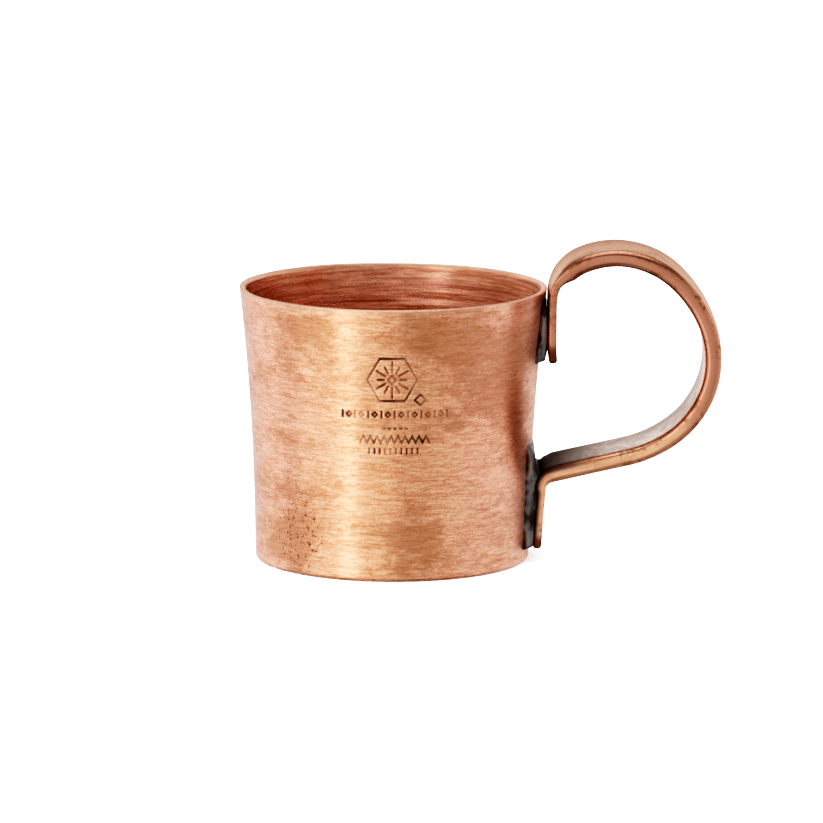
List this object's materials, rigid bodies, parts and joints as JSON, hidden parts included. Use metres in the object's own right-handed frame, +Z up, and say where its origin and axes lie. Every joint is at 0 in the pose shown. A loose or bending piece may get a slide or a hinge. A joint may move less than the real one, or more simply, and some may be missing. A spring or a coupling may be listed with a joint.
{
  "type": "mug",
  "caption": "Plain copper drinking mug with a flared cylindrical cup, a flat base and a broad bent strap handle brazed to the side below the rim.",
  "frame": {"origin": "centre of the foot's underside, on the cup's own axis", "axes": "+Z up along the cup's axis, +X from the axis towards the handle, Y across the handle strap, which is symmetric about Y = 0"},
  "size_m": [0.1411, 0.0902, 0.093],
  "materials": {
    "worn_copper": "bare copper, finely brushed around the cup, with brown tarnish patches and small pits",
    "base_copper": "bare copper with turning marks",
    "base_filler": "heat-darkened brazing filler",
    "strap_copper": "bare copper, brushed along the strap, worn bright on its rounded edges",
    "dark_filler": "near-black oxidised brazing filler, lumpy and half glossy"
  },
  "bodies": {
    "root": {"cup_wall": "worn_copper", "base_plate": "base_copper", "base_braze": "base_filler", "handle_strap": "strap_copper", "upper_braze": "dark_filler", "lower_braze": "dark_filler"}
  },
  "joints": []
}
